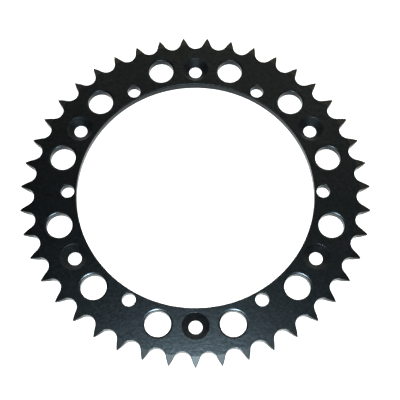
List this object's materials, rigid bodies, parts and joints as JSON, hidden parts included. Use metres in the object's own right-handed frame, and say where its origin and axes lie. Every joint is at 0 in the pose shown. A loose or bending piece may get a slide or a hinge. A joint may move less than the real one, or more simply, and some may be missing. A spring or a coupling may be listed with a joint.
{
  "type": "rear sprocket",
  "caption": "Flat toothed ring for a motorcycle chain, in black-finished steel, with a wide open bore, round lightening holes, and plain and countersunk bolt holes.",
  "frame": {"origin": "centre of the bore on the back face, which sits on the wheel hub", "axes": "+Z along the sprocket's axis, from the back face to the front face with the countersinks; +Y to a tooth gap and a countersunk bolt hole"},
  "size_m": [0.2256, 0.2255, 0.0059],
  "materials": {
    "black_steel": "thin satin black finish on machined steel"
  },
  "bodies": {
    "root": {"sprocket_ring": "black_steel"}
  },
  "joints": []
}
